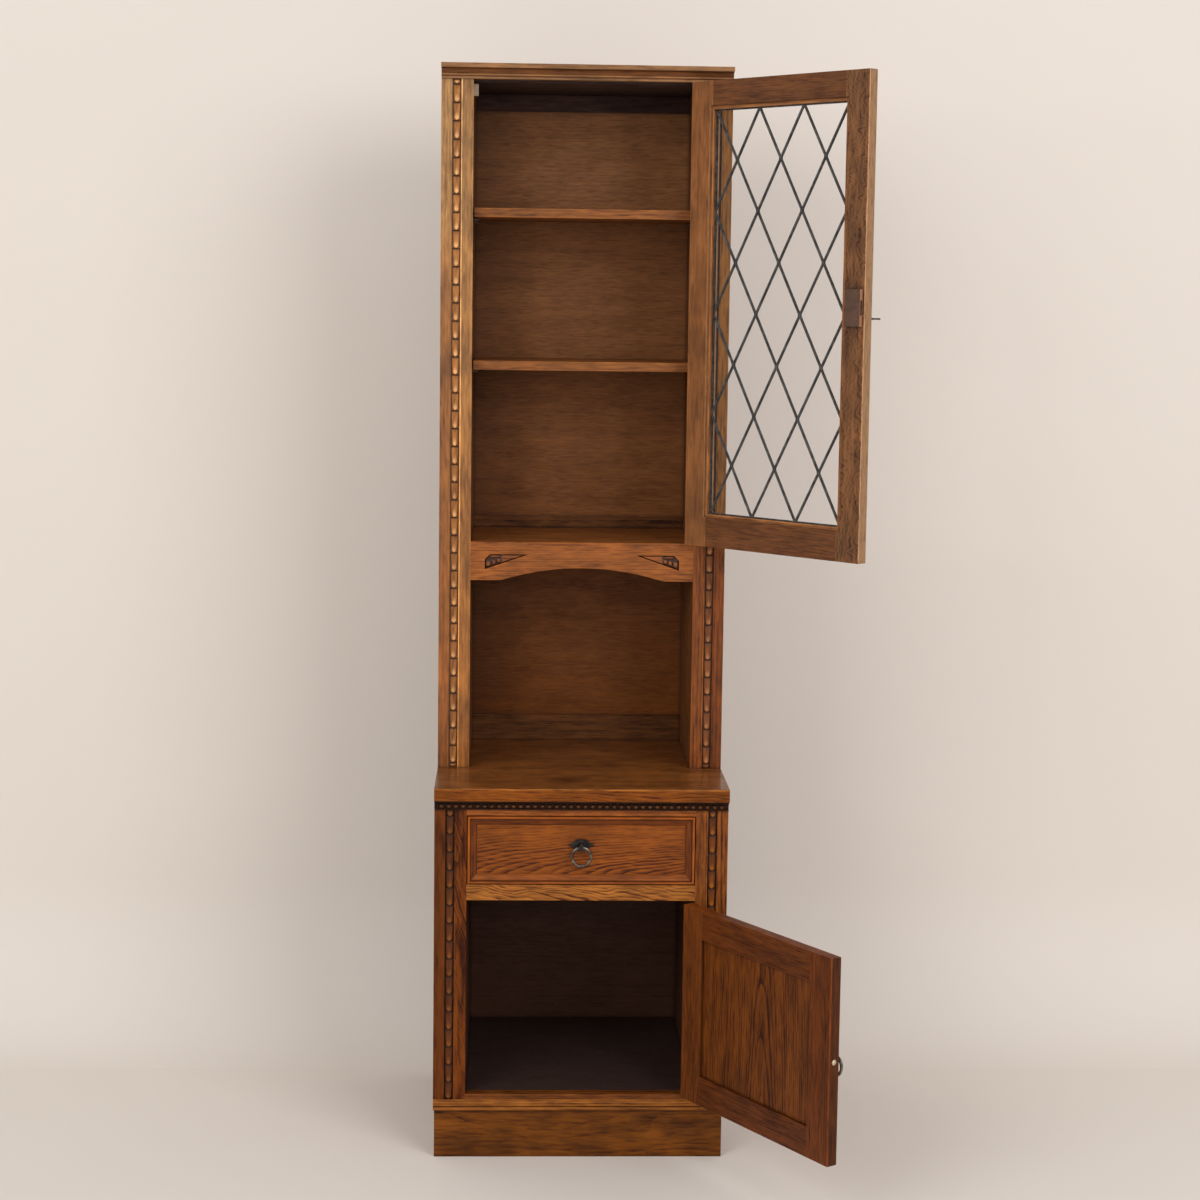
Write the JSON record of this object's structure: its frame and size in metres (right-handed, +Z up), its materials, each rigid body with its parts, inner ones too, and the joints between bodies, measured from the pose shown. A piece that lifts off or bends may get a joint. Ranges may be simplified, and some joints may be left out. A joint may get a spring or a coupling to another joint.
{
  "type": "display_cabinet",
  "caption": "Narrow two-stage oak display cabinet with a leaded glass door, an open niche, a drawer and a cupboard, its doors standing open",
  "frame": {"origin": "on the floor, under the middle of the plinth's front board", "axes": "+X to the right of a person facing the front, +Y to the back, +Z up"},
  "size_m": [0.7223, 0.7821, 1.87],
  "materials": {
    "oak": "waxed brown oak",
    "oak_inside": "dark stained oak",
    "glass": "clear, slightly uneven",
    "lead": "dull grey lead",
    "iron": "dark bronzed iron",
    "brass": "aged brass",
    "steel": "dull steel",
    "plastic": "pale brown"
  },
  "bodies": {
    "carcass": {"plinth_front": "oak", "plinth_sides": "oak", "plinth_back": "oak", "base_moulding": "oak", "base_left_side": "oak", "base_right_side": "oak", "base_linings": "oak_inside", "base_bottom_board": "oak_inside", "base_left_stile": "oak", "base_right_stile": "oak", "bottom_rail": "oak", "drawer_rail": "oak", "top_rail": "oak", "drawer_guides": "oak_inside", "base_back_panel": "oak_inside", "counter_top": "oak", "pearl_moulding": "oak", "carved_strips": "oak", "display_left_side": "oak", "display_right_side": "oak", "display_linings": "oak", "display_left_stile": "oak", "display_right_stile": "oak", "cornice": "oak", "top_board": "oak", "display_back_panel": "oak_inside", "back_rails": "oak_inside", "upper_shelf": "oak", "middle_shelf": "oak", "fixed_shelf": "oak", "arch_rail": "oak", "shelf_pegs": "plastic", "door_stop": "plastic", "rear_posts": "oak_inside", "hinge_frame_leaves": "brass", "hinge_pins": "brass"},
    "drawer": {"drawer_front": "oak", "drawer_moulding": "oak", "drawer_sides": "oak_inside", "drawer_back": "oak_inside", "drawer_bottom": "oak_inside", "drawer_pull_plate": "iron"},
    "drawer_ring_pull": {"drawer_ring": "iron"},
    "cupboard_door": {"cupboard_door_stiles": "oak", "cupboard_door_rails": "oak", "cupboard_door_panel": "oak", "cupboard_door_moulding": "oak", "cupboard_door_hinge_leaves": "brass", "cupboard_ball_catch": "brass", "cupboard_pull_plate": "iron"},
    "cupboard_ring_pull": {"cupboard_ring": "iron"},
    "glazed_door": {"glazed_door_stiles": "oak", "glazed_door_rails": "oak", "glass_quarries": "glass", "lead_cames": "lead", "glazing_beads": "oak", "glazed_door_hinge_leaves": "brass", "lock_case": "steel"},
    "bolt": {"lock_bolt": "steel"},
    "door_key": {"key": "steel"}
  },
  "joints": [
    {"name": "glazed_door_swing", "type": "hinge", "parent": "carcass", "child": "glazed_door", "pos_m": [0.194, 0.1448, 1.4475], "axis": [0, 0, 1], "range_deg": [-132.6, 37.4]},
    {"name": "cupboard_door_swing", "type": "hinge", "parent": "carcass", "child": "cupboard_door", "pos_m": [0.194, -0.0152, 0.2825], "axis": [0, 0, 1], "range_deg": [-122.8, 47.2]},
    {"name": "drawer_slide", "type": "slide", "parent": "carcass", "child": "drawer", "axis": [0, -1, 0], "range_m": [0, 0.27]},
    {"name": "drawer_ring_swing", "type": "hinge", "parent": "drawer", "child": "drawer_ring_pull", "pos_m": [0, -0.017, 0.5466], "axis": [-1, 0, 0], "range_deg": [-15, 90]},
    {"name": "cupboard_ring_swing", "type": "hinge", "parent": "cupboard_door", "child": "cupboard_ring_pull", "pos_m": [0.39804, -0.31556, 0.284], "axis": [0.5417, -0.8406, 0], "range_deg": [-15, 90]},
    {"name": "key_turn", "type": "hinge", "parent": "glazed_door", "child": "door_key", "pos_m": [0.43865, -0.12745, 1.4475], "axis": [0.7361, 0.6769, 0], "range_deg": [0, 90]},
    {"name": "bolt_slide", "type": "slide", "parent": "glazed_door", "child": "bolt", "axis": [0.6769, -0.7361, 0], "range_m": [0, 0.008]}
  ],
  "couplings": [
    {"joint": "key_turn", "follows": "bolt_slide", "rad_per_m": 196.3}
  ]
}
